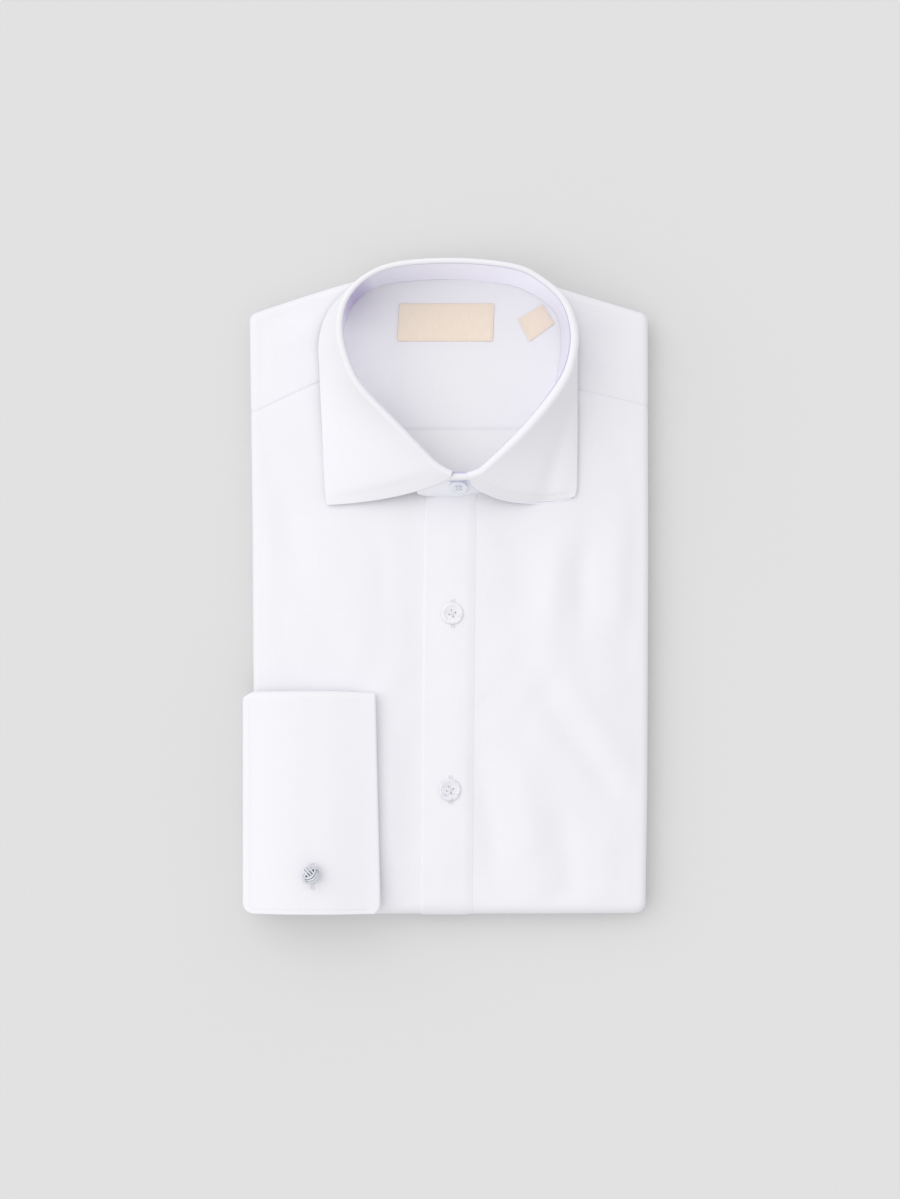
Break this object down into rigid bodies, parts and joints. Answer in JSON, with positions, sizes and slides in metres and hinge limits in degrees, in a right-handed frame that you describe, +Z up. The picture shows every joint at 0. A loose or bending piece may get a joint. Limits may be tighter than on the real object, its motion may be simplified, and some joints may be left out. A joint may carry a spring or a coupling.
{
  "type": "folded dress shirt",
  "caption": "Long sleeve dress shirt folded flat, spread collar buttoned and standing, French cuff with a silk knot laid on the front, lavender neckband facing.",
  "frame": {"origin": "on the surface that the folded shirt lies on, under the middle of its bounding box", "axes": "+Y towards the collar, +Z up, +X towards the side that the wearer's left front is on, which is the right side seen from above"},
  "size_m": [0.2198, 0.3541, 0.0538],
  "materials": {
    "white cotton": "matte, fine plain weave",
    "inside cotton": "matte, fine plain weave",
    "lavender cotton": "matte, fine plain weave",
    "cream label": "matte satin weave",
    "pearl button": "soft pearl gloss",
    "grey silk cord": "soft silky sheen"
  },
  "bodies": {
    "root": {"folded_layers": "white cotton", "back_panel": "inside cotton", "inner_yoke": "inside cotton", "front_right": "white cotton", "front_left": "white cotton", "placket": "white cotton", "yoke": "white cotton", "collar_band_lining": "lavender cotton", "collar_stand": "white cotton", "collar_leaf": "white cotton", "collar_button": "pearl button", "front_button_1": "pearl button", "front_button_2": "pearl button", "neck_label": "cream label", "size_tab": "cream label", "french_cuff": "white cotton", "sleeve": "white cotton", "cufflink_knot": "grey silk cord"}
  },
  "joints": []
}
